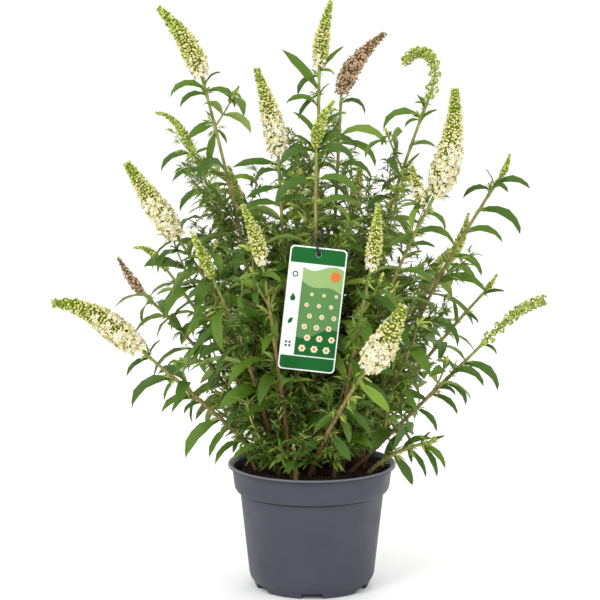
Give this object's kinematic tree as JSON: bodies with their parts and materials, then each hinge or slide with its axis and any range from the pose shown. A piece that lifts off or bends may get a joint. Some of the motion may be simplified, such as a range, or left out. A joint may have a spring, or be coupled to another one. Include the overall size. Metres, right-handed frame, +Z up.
{
  "type": "butterfly bush in a nursery pot",
  "caption": "Potted flowering shrub: upright canes fan out of a round pot, each with narrow drooping leaves and a tapering flower spike, with a hanging label.",
  "frame": {"origin": "on the ground, at the axis of the pot, which is the centre of the small pad under its floor", "axes": "+Z up, +X to the right of the label's face, -Y out of the label's face"},
  "size_m": [0.5554, 0.4378, 0.6822],
  "materials": {
    "pot": "satin anthracite moulded plastic, fine scuffs on the rim",
    "potting_mix": "dark moist peat and bark crumbs",
    "bark": "brown woody stems, finely fissured, greener towards the top",
    "foliage": "matt green leaves, paler beneath, with white, cream and green flower spikes",
    "card": "printed plastic card with green bands",
    "tie": "black plastic-covered tie"
  },
  "bodies": {
    "root": {"pot": "pot", "potting_mix": "potting_mix", "rootstock": "bark", "cane_tall_left": "bark", "cane_tall_middle": "bark", "cane_faded_back": "bark", "cane_cream_centre": "bark", "cane_bud_centre": "bark", "cane_hooked_right": "bark", "cane_white_right": "bark", "cane_far_right": "bark", "cane_low_right": "bark", "cane_small_right": "bark", "cane_green_right": "bark", "cane_white_left": "bark", "cane_curved_left": "bark", "cane_brown_left": "bark", "cane_white_low_left": "bark", "cane_green_front_left": "bark", "cane_cream_front_left": "bark", "cane_cream_front_right": "bark", "cane_white_front": "bark", "cane_curved_upper_left": "bark", "cane_back_1": "bark", "cane_back_2": "bark", "cane_back_3": "bark", "cane_back_4": "bark", "cane_back_5": "bark", "cane_back_6": "bark", "foliage_tall_left": "foliage", "foliage_tall_middle": "foliage", "foliage_faded_back": "foliage", "foliage_cream_centre": "foliage", "foliage_bud_centre": "foliage", "foliage_hooked_right": "foliage", "foliage_white_right": "foliage", "foliage_far_right": "foliage", "foliage_low_right": "foliage", "foliage_small_right": "foliage", "foliage_green_right": "foliage", "foliage_white_left": "foliage", "foliage_curved_left": "foliage", "foliage_brown_left": "foliage", "foliage_white_low_left": "foliage", "foliage_green_front_left": "foliage", "foliage_cream_front_left": "foliage", "foliage_cream_front_right": "foliage", "foliage_white_front": "foliage", "foliage_curved_upper_left": "foliage", "foliage_back_1": "foliage", "foliage_back_2": "foliage", "foliage_back_3": "foliage", "foliage_back_4": "foliage", "foliage_back_5": "foliage", "foliage_back_6": "foliage", "shoot_front": "foliage", "shoot_right": "foliage", "shoot_left": "foliage", "label_card": "card", "label_tie": "tie"}
  },
  "joints": []
}
